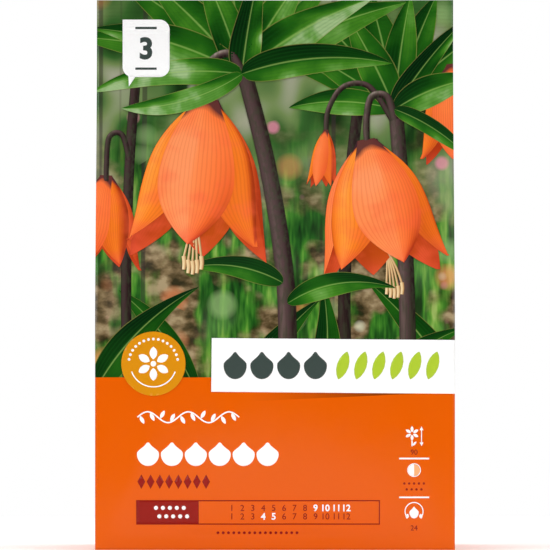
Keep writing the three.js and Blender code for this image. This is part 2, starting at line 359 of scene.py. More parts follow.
def gusset_film(side):
    """A side gusset: straight legs that meet in a round crease, with flanges in the seals."""
    bm = new_sheet()
    flange, creased = 0.1, 0.1       # shares of the grid for the seal and for the crease

    def line_at(z):
        depth = gusset_depth(z)
        to_centre = fold_reach(z) - FOLD_RADIUS
        span = math.hypot(to_centre, depth)
        angle = math.atan2(depth, to_centre) - math.asin(FOLD_RADIUS / span)
        bend = FOLD_RADIUS * (math.pi / 2 - angle)
        leg = math.sqrt(span ** 2 - FOLD_RADIUS ** 2)
        return depth, to_centre, angle, bend, leg

    def place(u, v):
        z = PACK_HEIGHT * v
        depth, to_centre, angle, bend, leg = line_at(z)
        length = abs(u)
        if length > 1 - flange:
            inward = -(SEAL_WIDTH - 0.2) * (length - 1 + flange) / flange
            return Vector((side * (WALL_X - inward), math.copysign(depth, u), z))
        share = length / (1 - flange)
        if share < creased:
            from_crease = FOLD_ZONE * share / creased
        else:
            from_crease = mix(FOLD_ZONE, bend + leg, (share - creased) / (1 - creased))
        if from_crease < bend:
            turn = math.pi - from_crease / FOLD_RADIUS
            inward = to_centre - FOLD_RADIUS * math.cos(turn)
            y = FOLD_RADIUS * math.sin(turn)
        else:
            on_leg = bend + leg - from_crease
            inward = on_leg * math.cos(angle)
            y = depth - on_leg * math.sin(angle)
        full = math.sin(math.pi * clamp01((z - TRAY_LIP) / (SHOULDER - TRAY_LIP)))
        swell = SIDE_SWELL * full * math.cos(math.pi / 2 * y / depth)
        fade = smooth(share * 6) * smooth((1 - share) * 5)
        fade *= smooth((SEAL_BOTTOM - z) / 30) * smooth(z / 14)
        slack = GUSSET_SLACK * fade * noise.noise(Vector((y / 20, z / 24, side * 7.0)))
        return Vector((side * (WALL_X - inward + swell + slack), math.copysign(y, u), z))

    grid_sheet(bm, 60, 130, place)
    if side < 0:
        bmesh.ops.reverse_faces(bm, faces=bm.faces)
    punch(bm, SIDE_VENTS, side_view=True)
    return bm


def base_film():
    """The base panel: a floor with a pressed seal round it, slack in the middle, whose rim
    turns up inside the walls."""
    bm = new_sheet()
    half_x, half_y = base_high.x, base_high.y
    bend = 1.2

    def place(u, v):
        x, y = u * half_x, (2 * v - 1) * half_y
        from_rim = min(half_x - abs(x), half_y - abs(y))
        pressed = 0.3 * smooth((from_rim - SEAL_WIDTH) / 1.5)
        slack = 0.2 * (1 - u ** 2) * (1 - (2 * v - 1) ** 2)      # stays under the shavings
        lift = slack * (1 + noise.noise(Vector((x / 25, y / 25, 3))))
        return Vector((x, y, FILM + pressed + lift))

    grid_sheet(bm, 104, 66, place)
    bmesh.ops.reverse_faces(bm, faces=bm.faces)
    rim = [edge for edge in bm.edges if edge.is_boundary]
    raised = bmesh.ops.extrude_edge_only(bm, edges=rim)["geom"]
    bmesh.ops.translate(
        bm, vec=(0, 0, base_high.z - FILM),
        verts=[part for part in raised if isinstance(part, bmesh.types.BMVert)])
    corners = [edge for edge in bm.edges if not edge.is_boundary
               and edge.calc_face_angle(0) > math.radians(60)]
    bmesh.ops.bevel(bm, geom=corners, offset=bend, offset_type="OFFSET", segments=4,
                    profile=0.5, affect="EDGES", material=-1)
    bmesh.ops.recalc_face_normals(bm, faces=bm.faces)
    return bm


# ---------------------------------------------------------------- flat figures of print

def cut_to_film(bm):
    """Cuts a flat figure along the film's own lines, so that it bends with the film."""
    xs = [corner.co.x for corner in bm.verts]
    zs = [corner.co.y for corner in bm.verts]
    lines = [(Vector((n * CELL, 0, 0)), Vector((1, 0, 0)))
             for n in range(math.ceil(min(xs) / CELL), math.floor(max(xs) / CELL) + 1)]
    cell_z = SEAL_BOTTOM / BODY_ROWS
    lines += [(Vector((0, n * cell_z, 0)), Vector((0, 1, 0)))
              for n in range(math.ceil(min(zs) / cell_z), math.floor(max(zs) / cell_z) + 1)]
    z = SEAL_BOTTOM
    while z < max(zs):
        lines.append((Vector((0, z, 0)), Vector((0, 1, 0))))
        z += CRIMP_PITCH / 4
    for point, across in lines:
        bmesh.ops.bisect_plane(
            bm, geom=bm.verts[:] + bm.edges[:] + bm.faces[:], dist=1e-5,
            plane_co=point, plane_no=across)


def bend_onto(bm, side, lift_at):
    """Bends figures drawn in the x-y plane onto the front or back, lifted off it by
    lift_at(x, z, near)."""
    for corner in bm.verts:
        x, z, near = corner.co
        across = -side * x
        out = panel_depth(side, across, z) + lift_at(x, z, near)
        corner.co = Vector((across, side * out, z))


def on_film(x, z, turn=0.0, length=1.0, width=1.0):
    """Where a figure lies: its middle, its turn in degrees and its two sizes."""
    return (Matrix.Translation((x, z, 0)) @ Matrix.Rotation(math.radians(turn), 4, "Z")
            @ Matrix.Diagonal((length, width, 1, 1)))


def disc(bm, x, z, radius, segments=40):
    return bmesh.ops.create_circle(
        bm, cap_ends=True, radius=radius, segments=segments, matrix=on_film(x, z))["verts"]


def half_disc(bm, x, z, radius, way):
    """The right half of a disc, or the left where way is -1."""
    before = set(bm.verts)
    disc(bm, x, z, radius)
    new = [corner for corner in bm.verts if corner not in before]
    edges = {edge for corner in new for edge in corner.link_edges}
    faces = {face for corner in new for face in corner.link_faces}
    bmesh.ops.bisect_plane(
        bm, geom=new + list(edges) + list(faces), plane_co=(x, z, 0), plane_no=(-way, 0, 0),
        clear_outer=True)


def figure(bm, *points):
    """A flat figure with straight sides from its few corners, given anticlockwise."""
    face = bm.faces.new([bm.verts.new((x, z, 0)) for x, z in points])
    face.normal_update()
    return face


def box(bm, x0, z0, x1, z1, radius=0.0, square=()):
    """A rectangle. radius rounds its corners, apart from the square ones among bottom left,
    bottom right, top right and top left, numbered from 0."""
    face = figure(bm, (x0, z0), (x1, z0), (x1, z1), (x0, z1))
    rounded = [corner for n, corner in enumerate(face.verts) if n not in square]
    if radius:
        bmesh.ops.bevel(bm, geom=rounded, offset=radius, offset_type="OFFSET", segments=8,
                        profile=0.5, affect="VERTICES", material=-1)


def band(bm, x, z, radius, width, start=0, end=360, count=48):
    """Part of a ring, or a whole one."""
    first = [bm.verts.new((x + r * math.cos(math.radians(start)),
                           z + r * math.sin(math.radians(start)), 0))
             for r in (radius - width / 2, radius + width / 2)]
    line = bm.edges.new(first)
    bmesh.ops.spin(bm, geom=first + [line], cent=(x, z, 0), axis=(0, 0, 1),
                   angle=math.radians(end - start), steps=count, use_merge=end - start == 360)


def stroke(bm, x0, z0, x1, z1, width):
    """A straight line with square ends."""
    along = Vector((x1 - x0, z1 - z0))
    turn = math.degrees(math.atan2(along.y, along.x))
    bmesh.ops.create_grid(
        bm, x_segments=1, y_segments=1, size=0.5,
        matrix=on_film((x0 + x1) / 2, (z0 + z1) / 2, turn, along.length, width))


def frame_line(bm, x0, z0, x1, z1, width):
    """The outline of a rectangle, inset from its edge by the line's width."""
    face = figure(bm, (x0, z0), (x1, z0), (x1, z1), (x0, z1))
    bmesh.ops.inset_region(
        bm, faces=[face], thickness=width, use_boundary=True, use_even_offset=True)
    bmesh.ops.delete(bm, geom=[face], context="FACES_ONLY")


def petal_mark(bm, x, z, inner, outer, width, turn):
    """A pointed oval that stands away from (x, z)."""
    corners = disc(bm, 0, 0, 0.5, 16)
    for corner in corners:
        corner.co.y *= (2 * abs(corner.co.y)) ** 0.6
        corner.co.x += 0.5
    place = on_film(x, z, turn) @ on_film(inner, 0, 0, outer - inner, width)
    bmesh.ops.transform(bm, matrix=place, verts=corners)


def diamond(bm, x, z, width, height):
    bmesh.ops.create_circle(
        bm, cap_ends=True, radius=0.5, segments=4, matrix=on_film(x, z, 0, width, height))


def bulb_mark(bm, x, z, height, width):
    """The outline of a bulb, drawn in to a point at the top."""
    corners = disc(bm, 0, 0, 0.5, 36)
    for corner in corners:
        corner.co.x *= 1 - 0.62 * smooth((2 * corner.co.y - 0.1) / 0.8)
    bmesh.ops.transform(bm, matrix=on_film(x, z, 0, width, height), verts=corners)


def arrow(bm, x0, z0, x1, z1, width, head):
    """A double-ended arrow; head is the length of its heads."""
    along = Vector((x1 - x0, z1 - z0)).normalized()
    turn = math.degrees(math.atan2(along.y, along.x))
    for x, z, way in ((x0, z0, 180), (x1, z1, 0)):
        place = on_film(x, z, turn + way) @ on_film(-head * 2 / 3, 0, 0, head * 2 / 3, head * 0.58)
        bmesh.ops.create_circle(
            bm, cap_ends=True, radius=1, segments=3,
            matrix=place @ Matrix.Rotation(math.radians(-90), 4, "Z"))
    stroke(bm, x0 + along.x * head, z0 + along.y * head,
           x1 - along.x * head, z1 - along.y * head, width)


def numeral(bm, text, x, z, height, weight=0.0):
    """A plain number with its middle at (x, z); weight thickens its strokes."""
    curve = bpy.data.curves.new("number", "FONT")
    curve.body = text
    curve.align_x = "CENTER"
    curve.align_y = "CENTER"
    curve.size = height / 0.73
    curve.offset = weight
    curve.resolution_u = 4
    holder = bpy.data.objects.new("number", curve)
    flat = holder.to_mesh()
    start = len(bm.verts)
    bm.from_mesh(flat)
    bm.verts.ensure_lookup_table()
    holder.to_mesh_clear()
    bpy.data.objects.remove(holder)
    bpy.data.curves.remove(curve)
    new = bm.verts[start:]
    low = Vector(min(corner.co[i] for corner in new) for i in range(3))
    high = Vector(max(corner.co[i] for corner in new) for i in range(3))
    bmesh.ops.translate(bm, vec=Vector((x, z, 0)) - (low + high) / 2, verts=new)


def print_piece(name, draw, ink, slot, layer=0, side=-1, thickness=LAYER_STEP * 0.8):
    """Draws one ink's figures and lays them on the front or back film."""
    bm = bmesh.new()
    draw(bm)
    bm.normal_update()
    bmesh.ops.reverse_faces(bm, faces=[face for face in bm.faces if face.normal.z < 0])
    bmesh.ops.triangulate(bm, faces=[face for face in bm.faces if len(face.verts) > 4])
    cut_to_film(bm)
    bend_onto(bm, side, lambda x, z, near: PRINT_LIFT + layer * LAYER_STEP)
    if side > 0:
        bmesh.ops.reverse_faces(bm, faces=bm.faces)
    return keep_piece(name, bm, ink, slot, thickness)


# ---------------------------------------------------------------- materials

def printed_film(name, paint):
    """Stretched polypropylene, gravure-printed on its inner face and glued to polyethylene.

    Its smooth outer face lies over the ink and shows a clear gloss, and the slack of a wound
    film ripples that gloss softly. paint(tree, in_mm) gives the colour of the ink."""
    made, tree, surface, in_mm = new_material(name)
    slack = add(tree, "TexNoise", {"Vector": in_mm, "Scale": 1 / 14, "Detail": 3})
    tight = add(tree, "TexNoise", {"Vector": in_mm, "Scale": 1 / 2.2, "Detail": 2})
    rough = add(tree, "MapRange", (slack, 0, 1, 0.13, 0.24))
    rippled = add(tree, "Bump", {"Height": slack, "Strength": 0.25, "Distance": 0.0006}, "Normal")
    fine = add(tree, "Bump", {
        "Height": tight, "Strength": 0.06, "Distance": 0.0002, "Normal": rippled}, "Normal")
    feed(tree, surface, {"Base Color": paint(tree, in_mm), "Roughness": rough, "Normal": fine,
                         "IOR": 1.49, "Specular IOR Level": 0.22})
    return made


def solid_ink(name, colour):
    """One full ink. A gravure roll lays it down in cells of 0.07 mm, drawn here at 0.8 mm so
    that they show, which leaves the colour a little uneven."""
    def paint(tree, in_mm):
        cells = add(tree, "TexNoise", {"Vector": in_mm, "Scale": 1 / 0.8, "Detail": 2})
        shade = add(tree, "MapRange", (cells, 0, 1, 0.97, 1.03))
        return add(tree, "VectorMath", (linear(colour)[:3], shade), operation="MULTIPLY")

    return printed_film(name, paint)


def garden(tree, in_mm, across):
    """A garden far out of focus: leaves as soft upright streaks over soil, flowers as discs.
    It is flat, and lies across the film's X or Y."""
    parts = add(tree, "SeparateXYZ", (in_mm,), "X").node
    height = parts.outputs["Z"]
    flat = add(tree, "CombineXYZ", {"X": parts.outputs[across], "Z": height})

    def streaks(width, tall, detail, seed):
        drawn_out = add(tree, "Mapping", {
            "Vector": flat, "Location": (seed, seed, 0), "Scale": (1 / width, 1 / width, 1 / tall)})
        return add(tree, "TexNoise", {"Vector": drawn_out, "Scale": 1, "Detail": detail})

    def discs(size, spacing, share, seed):
        """Soft round spots: how strong they are, and a random number for each. share of them
        are kept."""
        moved = add(tree, "Mapping", {"Vector": flat, "Location": (seed, 0, seed)})
        near = add(tree, "TexVoronoi", {
            "Vector": moved, "Scale": 1 / spacing, "Randomness": 0.9}, "Distance")
        draw = add(tree, "SeparateColor", (near.node.outputs["Color"],), "Red").node
        spot = add(tree, "MapRange", (near, size / spacing, 0.55 * size / spacing, 0, 0.6))
        kept = add(tree, "MapRange", (draw.outputs["Red"], 1 - share, 1.02 - share, 0, 1))
        strength = add(tree, "Math", (spot, kept), operation="MULTIPLY")
        return strength, draw.outputs["Green"]

    trees = add(tree, "ValToRGB", (streaks(22, 26, 1, 3.1),), stops=(
        (0.34, "#14300F"), (0.45, "#35602A"), (0.55, "#6F8550"), (0.68, "#A6A592")))
    soil = add(tree, "ValToRGB", (streaks(7, 5, 3, 12.4),), stops=(
        (0.36, "#2A1C12"), (0.46, "#54402A"), (0.56, "#80694C"), (0.68, "#A99472")))
    blades = add(tree, "ValToRGB", (streaks(3.2, 17, 2, 5.5),), stops=(
        (0.3, "#0C2A0C"), (0.42, "#1E5518"), (0.54, "#3F8026"), (0.64, "#6FA03C"),
        (0.74, "#9CB860")))
    growing = tinted(tree, soil, (streaks(16, 20, 2, 21.9), 0.43, 0.53, 1, blades))
    stems = streaks(4, 400, 0, 8.7)
    seen = tinted(
        tree, trees, (height, 172, 120, 0.92, growing), (stems, 0.66, 0.7, 0.62, "#33282A"))
    for size, spacing, share, seed, colours in (
            (6.5, 15, 0.3, 4.0, ("#8DB070", "#C2CFA4", "#E58A5A")),
            (3.2, 11, 0.22, 31.0, ("#E88AA6", "#F29A6A", "#D9DDC0"))):
        strength, number = discs(size, spacing, share, seed)
        first, second, third = colours
        hue = add(tree, "ValToRGB", (number,), stops=(
            (0.33, first), (0.34, second), (0.66, second), (0.67, third)))
        seen = tinted(tree, seen, (strength, hue))
    return seen


def panel_film_print(name, across, panel_top):
    """The film of a whole panel: plain orange ink below, the garden picture above."""
    def paint(tree, in_mm):
        height = add(tree, "SeparateXYZ", (in_mm,), "Z")
        seen = garden(tree, in_mm, across)
        return tinted(tree, ORANGE, (height, panel_top - 0.05, panel_top + 0.05, 1, seen))

    return printed_film(name, paint)


def veins(tree, count, strength, wander):
    """Fine lines along a drawn petal or leaf, which crowd together towards its ends. They are
    drawn coarser than life, about 1 mm apart, so that they show."""
    place = add(tree, "UVMap", uv_map="UVMap")
    drift = add(tree, "TexNoise", {"Vector": place, "Scale": wander, "Detail": 2})
    across = add(tree, "SeparateXYZ", (place,), "X")
    shifted = add(tree, "Math", (drift, 0.05, across), operation="MULTIPLY_ADD")
    turns = add(tree, "Math", (shifted, 2 * math.pi * count), operation="MULTIPLY")
    wave = add(tree, "Math", (turns,), operation="SINE")
    return add(tree, "MapRange", (wave, -0.2, 1, 0, strength)), across.node


def by_light(tree, *stops):
    """Colours a drawing by the light that was worked out for it, from shade to full light."""
    light = add(tree, "Attribute", out="Fac", attribute_name="light")
    return add(tree, "ValToRGB", (light,), stops=stops)


def petal_ink(tree, in_mm):
    """Halftone of the petals: salmon or yellow-orange with darker veins, dusky at the base."""
    warm = add(tree, "Attribute", out="Fac", attribute_name="warm")
    lines, place = veins(tree, 17, 0.2, 3)
    across, along = place.outputs["X"], place.outputs["Y"]
    mottle = add(tree, "TexNoise", {"Vector": in_mm, "Scale": 1 / 10, "Detail": 2})
    yellow = by_light(
        tree, (0.0, "#571104"), (0.22, "#A83806"), (0.45, "#E46A14"), (0.68, "#F8841C"),
        (0.86, "#FF9630"), (1.0, "#FFAC5A"))
    salmon = by_light(
        tree, (0.0, "#571104"), (0.22, "#AC340C"), (0.45, "#E86026"), (0.68, "#FA7A3C"),
        (0.86, "#FF8C50"), (1.0, "#FFA878"))
    off_rib = add(tree, "Math", (across, 0.5), operation="SUBTRACT")
    bowed = add(tree, "Math", (off_rib, off_rib), operation="MULTIPLY")
    uneven = add(tree, "Math", (mottle, 0.08, along), operation="MULTIPLY_ADD")
    from_base = add(tree, "Math", (bowed, -0.3, uneven), operation="MULTIPLY_ADD")
    return tinted(
        tree, yellow, (warm, salmon), (mottle, 0.46, 0.7, 0.42, "#F4603C"),
        (along, 0.84, 1, 0.4, "#E8503C"), (lines, "#B03A12"),
        (from_base, 0.125, 0.07, 0.9, "#33222C"))


def leaf_ink(tree, in_mm):
    """Halftone of the leaves: deep green with lighter lines and rib, and a pale edge."""
    light = add(tree, "Attribute", out="Fac", attribute_name="light")
    lines, place = veins(tree, 9, 0.2, 2)
    mottle = add(tree, "TexNoise", {"Vector": in_mm, "Scale": 1 / 11, "Detail": 3})
    patchy = add(tree, "MapRange", (mottle, 0.32, 0.68, 0.8, 1.1))
    shaded = add(tree, "Math", (light, patchy), operation="MULTIPLY")
    off_rib = add(tree, "Math", (place.outputs["X"], 0.5), operation="SUBTRACT")
    from_rib = add(tree, "Math", (off_rib,), operation="ABSOLUTE")
    colour = add(tree, "ValToRGB", (shaded,), stops=(
        (0.0, "#05200A"), (0.25, "#0C3C0A"), (0.5, "#215E12"), (0.72, "#417F1F"),
        (0.88, "#659A42"), (1.0, "#A0BE86")))
    return tinted(
        tree, colour, (lines, "#1B5A1E"), (from_rib, 0.035, 0.01, 0.55, "#8DB25A"),
        (from_rib, 0.47, 0.497, 0.55, "#A3A052"))


def stalk_ink(tree, in_mm):
    """Halftone of the stalks: purple-brown with faint greenish streaks."""
    drawn_out = add(tree, "Mapping", {"Vector": in_mm, "Scale": (1 / 1.2, 1 / 1.2, 1 / 22)})
    streaks = add(tree, "TexNoise", {"Vector": drawn_out, "Scale": 1, "Detail": 3})
    brown = by_light(
        tree, (0.0, "#120B0C"), (0.4, "#2C1D1C"), (0.7, "#544040"), (0.88, "#7A6861"),
        (1.0, "#A1958A"))
    return tinted(tree, brown, (streaks, 0.42, 0.66, 0.55, "#39402C"))


def stamen_ink(tree, in_mm):
    """Halftone of the stamens: cream, browner in the shade."""
    return by_light(
        tree, (0.0, "#5A3A1E"), (0.4, "#B88A5A"), (0.75, "#E8C996"), (1.0, "#F6E4BE"))


def plate_shadow_ink(tree, in_mm):
    """Halftone of the shadow under the white plate: brown at the right, fading to orange."""
    place = add(tree, "SeparateXYZ", (in_mm,), "X")
    share = add(tree, "MapRange", (place, -18, 54, 0, 1))
    return add(tree, "ValToRGB", (share,), stops=(
        (0.12, ORANGE), (0.45, "#C85202"), (0.8, "#8F3A02"), (1.0, "#A84604")))


def bulb_scales():
    """The scales of a lily-like bulb, lifted and dried in the air. They are waxy and cream,
    with yellow-brown bruises and streaks, brown dry edges, specks of soil and a dark root
    plate."""
    made, tree, surface, in_mm = new_material("air-dried bulb scales")
    bruises = add(tree, "TexNoise", {"Vector": in_mm, "Scale": 1 / 13, "Detail": 5})
    specks = add(tree, "TexNoise", {"Vector": in_mm, "Scale": 1 / 1.6, "Detail": 4})
    drawn_out = add(tree, "Mapping", {"Vector": in_mm, "Scale": (1 / 2.6, 1 / 2.6, 1 / 30)})
    streaks = add(tree, "TexNoise", {"Vector": drawn_out, "Scale": 1, "Detail": 3})
    dry = add(tree, "Attribute", out="Fac", attribute_name="dry")
    colour = add(tree, "ValToRGB", (bruises,), stops=(
        (0.32, "#EBDDB8"), (0.48, "#DCC593"), (0.6, "#BE9760"), (0.7, "#86592F")))
    colour = tinted(
        tree, colour, (streaks, 0.48, 0.68, 0.55, "#A67C4A"),
        (specks, 0.58, 0.7, 0.6, "#7E5A36"), (dry, "#5A3B20"))
    waxy = add(tree, "MapRange", (bruises, 0, 1, 0.38, 0.7))
    skin = add(tree, "Bump", {"Height": specks, "Strength": 0.4, "Distance": 0.0006}, "Normal")
    feed(tree, surface, {"Base Color": colour, "Roughness": waxy, "Normal": skin,
                         "Subsurface Weight": 0.08, "Subsurface Radius": (0.004, 0.002, 0.001)})
    return made


def planed_pine():
    """Pine planed into shavings: pale, dull curls with darker late wood."""
    made, tree, surface, in_mm = new_material("planed pine shavings")
    drawn_out = add(tree, "Mapping", {
        "Vector": in_mm, "Rotation": (0.5, 0.3, 0.8), "Scale": (1 / 9, 1 / 1.1, 1 / 2.4)})
    grain = add(tree, "TexNoise", {
        "Vector": drawn_out, "Scale": 1, "Detail": 4, "Distortion": 0.6})
    chips = add(tree, "TexVoronoi", {"Vector": in_mm, "Scale": 1 / 7}, "Color")
    number = add(tree, "SeparateColor", (chips,), "Red")
    wood = add(tree, "ValToRGB", (grain,), stops=(
        (0.32, "#A97F4C"), (0.45, "#CDAA72"), (0.58, "#E3C895"), (0.7, "#EFDCB4")))
    colour = tinted(tree, wood, (number, 0.2, 1, 0.45, "#B88D57"))
    fibres = add(tree, "Bump", {"Height": grain, "Strength": 0.6, "Distance": 0.0008}, "Normal")
    edges = add(tree, "Bump", {
        "Height": number, "Strength": 0.5, "Distance": 0.0012, "Normal": fibres}, "Normal")
    feed(tree, surface, {"Base Color": colour, "Roughness": 0.82, "Normal": edges})
    return made


# ---------------------------------------------------------------- the drawn picture

SUN = Vector((-0.42, 0.62, 0.66)).normalized()   # right, up, towards the viewer
LOW_LEAF_ROLL = 10       # degrees


def drawn_sheet(bm, columns, rows, place, tone, warmth=0.0):
    """A petal, leaf or stalk in the picture's own space (right, up, towards the viewer). Its
    light is worked out from its full shape, before that is pressed flat."""
    light = bm.verts.layers.float["light"]
    warm = bm.verts.layers.float["warm"]
    shares = []

    def placed(u, v):
        shares.append((u, v))
        return place(u, v)

    corners = grid_sheet(bm, columns, rows, placed)
    bm.normal_update()
    for corner, (u, v) in zip(corners, shares):
        facing = corner.normal.z > 0
        normal = corner.normal if facing else -corner.normal
        corner[light] = clamp01(tone(0.5 + 0.5 * normal.dot(SUN), facing, u, v))
        corner[warm] = warmth


def bell(bm, x, z, near, length, mouth, lean, nod, turn, shade=1.0):
    """A nodding bell of six petals. mouth is half its width, lean its slant to the right."""
    down = Vector((math.sin(math.radians(lean)), -math.cos(math.radians(lean)), nod)).normalized()
    aside = down.cross(Vector((0, 0, 1))).normalized()
    ahead = aside.cross(down)
    base = Vector((x, z, near))
    for k in range(6):
        inner = k % 2
        around = math.radians(turn + 60 * k)
        out = ahead * math.cos(around) + aside * math.sin(around)
        tangent = aside * math.cos(around) - ahead * math.sin(around)
        widest = mouth * (0.5 if inner else 0.47)
        phase = 1.7 * k + turn
        overlap = 0 if inner else math.copysign(0.34 * mouth, out.z)

        def place(u, v):
            shoulder = 1 - (1 - clamp01(v / 0.66)) ** 2.4
            swell = 0.07 + 0.7 * shoulder + 0.5 * max(v - 0.45, 0) ** 1.6
            radius = mouth * swell * (0.93 if inner else 1.0)
            fall = clamp01((v - 0.55) / 0.45)
            widening = 0.3 + 0.7 * math.sin(math.pi / 2 * clamp01(v / 0.55))
            width = widest * widening * (1 - fall ** 2)
            curl = 0.6 * u * u * width + 0.04 * mouth * math.sin(6 * v + phase) * u ** 3
            ridge = 0.03 * width * math.exp(-(u / 0.16) ** 2)
            reach = length * v * (1 - 0.04 * v) * (0.96 if inner else 1.0)
            place = base + down * reach + out * (radius - curl + ridge) + tangent * (u * width)
            return place + Vector((0, 0, overlap))

        def tone(glow, facing, u, v):
            if not facing:
                return (0.02 + 0.18 * glow + 0.12 * v) * shade
            level = 0.2 + 0.7 * clamp01((glow - 0.42) / 0.55)
            if inner:
                level *= 1 - 0.55 * smooth((abs(u) - 0.1) / 0.75) * (1 - 0.5 * v)
            level *= 0.86 + 0.14 * smooth(v / 0.3)
            return level * shade

        drawn_sheet(bm, 18, 36, place, tone, 0.15 if inner else 1.0)


def leaf(bm, x, z, angle, length, width, bend, near, roll, shade, wave):
    """A lance-shaped leaf from its foot at (x, z), at an angle above +x that turns by bend.
    near puts it before or behind the others, and roll and wave turn and ruffle its blade."""
    turn = math.radians(bend)
    start = math.radians(angle)

    def place(u, v):
        heading = start + turn * v
        radius = length / turn
        middle = Vector((x + (math.sin(heading) - math.sin(start)) * radius,
                         z + (math.cos(start) - math.cos(heading)) * radius,
                         near + 3 * math.sin(math.pi * v)))
        half = width / 2 * (0.9 * math.sin(math.pi * v ** 0.66) ** 0.8 + 0.1 * (1 - v))
        rolled = math.radians(roll + 38 * math.sin(2.4 * v + wave))
        side = Vector((-math.sin(heading), math.cos(heading), 0)) * math.cos(rolled)
        side += Vector((0, 0, math.sin(rolled)))
        away = (0.5 * abs(u) ** 1.4 + 0.13 * math.sin(13 * v + 2 * u + wave) * u * u) * half
        return middle + side * (u * half) + Vector((0, 0, away))

    def tone(glow, facing, u, v):
        level = 1.08 * clamp01((glow - 0.3) / 0.68) ** 1.7
        return (level * (0.55 + 0.45 * smooth(v / 0.35))) * shade

    drawn_sheet(bm, 12, 44, place, tone)


def smooth_line(points, t):
    """A point at t from 0 to 1 on a smooth line through the points."""
    last = len(points) - 1
    n = min(int(t * last), last - 1)
    s = t * last - n
    a, b, c, d = (Vector(points[min(max(n + k, 0), last)]) for k in (-1, 0, 1, 2))
    return 0.5 * (2 * b + (c - a) * s + (2 * a - 5 * b + 4 * c - d) * s ** 2
                  + (3 * b - a - 3 * c + d) * s ** 3)


def stalk(bm, points, width, near, taper=0.8, shade=1.0):
    """The side of a round stalk that is seen, along a smooth line through points."""
    def place(u, v):
        here = smooth_line(points, v)
        along = smooth_line(points, min(v + 0.01, 1)) - smooth_line(points, max(v - 0.01, 0))
        along.normalize()
        half = width / 2 * mix(1, taper, v)
        turn = u * math.pi / 2
        aside = Vector((along.y, -along.x, 0)) * math.sin(turn) * half
        return Vector((here.x, here.y, near + half * math.cos(turn))) + aside

    def tone(glow, facing, u, v):
        return glow ** 2.2 * shade

    drawn_sheet(bm, 8, 46, place, tone)


def stamens(bm, x, z, near, length, spread, lean):
    """A few pale threads below a bell, each with a pollen sac at its end."""
    for k in range(5):
        share = (k - 2) / 2
        x_end = x + spread * share + length * math.sin(math.radians(lean))
        z_end = z - length * (1 - 0.12 * share * share)
        stalk(bm, ((x, z), (mix(x, x_end, 0.6), mix(z, z_end, 0.5)), (x_end, z_end)),
              0.06 * length, near + k, 1.0, 0.9)
        sac = 0.3 * length
        stalk(bm, ((x_end, z_end + 0.1 * sac), (x_end + 0.05 * sac, z_end - 0.5 * sac),
                   (x_end, z_end - sac)), 0.38 * sac, near + 6 + k, 0.8, 1.1)


def picture_room(x, z):
    """Share of the picture's depth that is left at a place: little at its edges, and little
    where the plate, the badge and the tag are printed over it."""
    from_side = smooth((PACK_WIDTH / 2 - abs(x)) / 7)
    from_plate = smooth((z - 88) / 8)
    from_tag = 1 - smooth((-34 - x) / 6) * smooth((z - 174) / 6)
    from_top = smooth((PACK_HEIGHT - z) / 7)
    return mix(0.4, 1.0, min(from_side, from_plate, from_tag, from_top))


def press_flat(bm, side, lowest):
    """Trims a drawing to the picture's edges and presses it onto the front or back film."""
    for face in bm.faces:
        if face.normal.z < 0:
            face.normal_flip()
    half = PACK_WIDTH / 2
    edges = (((half, 0, 0), (1, 0, 0)), ((-half, 0, 0), (-1, 0, 0)),
             ((0, PACK_HEIGHT, 0), (0, 1, 0)), ((0, lowest, 0), (0, -1, 0)))
    for point, across in edges:
        bmesh.ops.bisect_plane(
            bm, geom=bm.verts[:] + bm.edges[:] + bm.faces[:], dist=1e-6,
            plane_co=point, plane_no=across, clear_outer=True)
    for n in range(round(TOP_SEAL / CRIMP_PITCH * 4)):
        z = SEAL_BOTTOM + n * CRIMP_PITCH / 4
        faces = [face for face in bm.faces if max(corner.co.y for corner in face.verts) > z]
        edges_in = {edge for face in faces for edge in face.edges}
        corners_in = {corner for face in faces for corner in face.verts}
        bmesh.ops.bisect_plane(
            bm, geom=list(corners_in) + list(edges_in) + faces, dist=1e-6,
            plane_co=(0, z, 0), plane_no=(0, 1, 0))
    bend_onto(bm, side, lambda x, z, near: (
        PRINT_LIFT + (PICTURE_DEPTH + near) * picture_room(x, z) * PICTURE_FLAT))


def print_picture(name, side, lowest, inks, stems, bells, threads, heads, low_leaves):
    """Draws a picture, one drawing for each of its four inks, and prints it on the film.

    Each row is what stalk, bell or stamens takes. A head has its place and its leaves, each
    with its angle, length, width, bend, near, roll, shade and wave."""
    drawings = [new_sheet("light", "warm") for ink in inks]
    stalks, leaves, blooms, pollen = drawings
    for row in stems:
        stalk(stalks, *row)
    for row in bells:
        bell(blooms, *row)
    for row in threads:
        stamens(pollen, *row)
    for x, z, whorl in heads:
        for row in whorl:
            leaf(leaves, x, z, *row)
    for x, z, angle, length, width, bend, near, shade in low_leaves:
        leaf(leaves, x, z, angle, length, width, bend, near, LOW_LEAF_ROLL, shade, x)
    for (part, ink, slot), bm in zip(inks, drawings):
        press_flat(bm, side, lowest)
        keep_piece(f"{name}_{part}", bm, ink, slot)


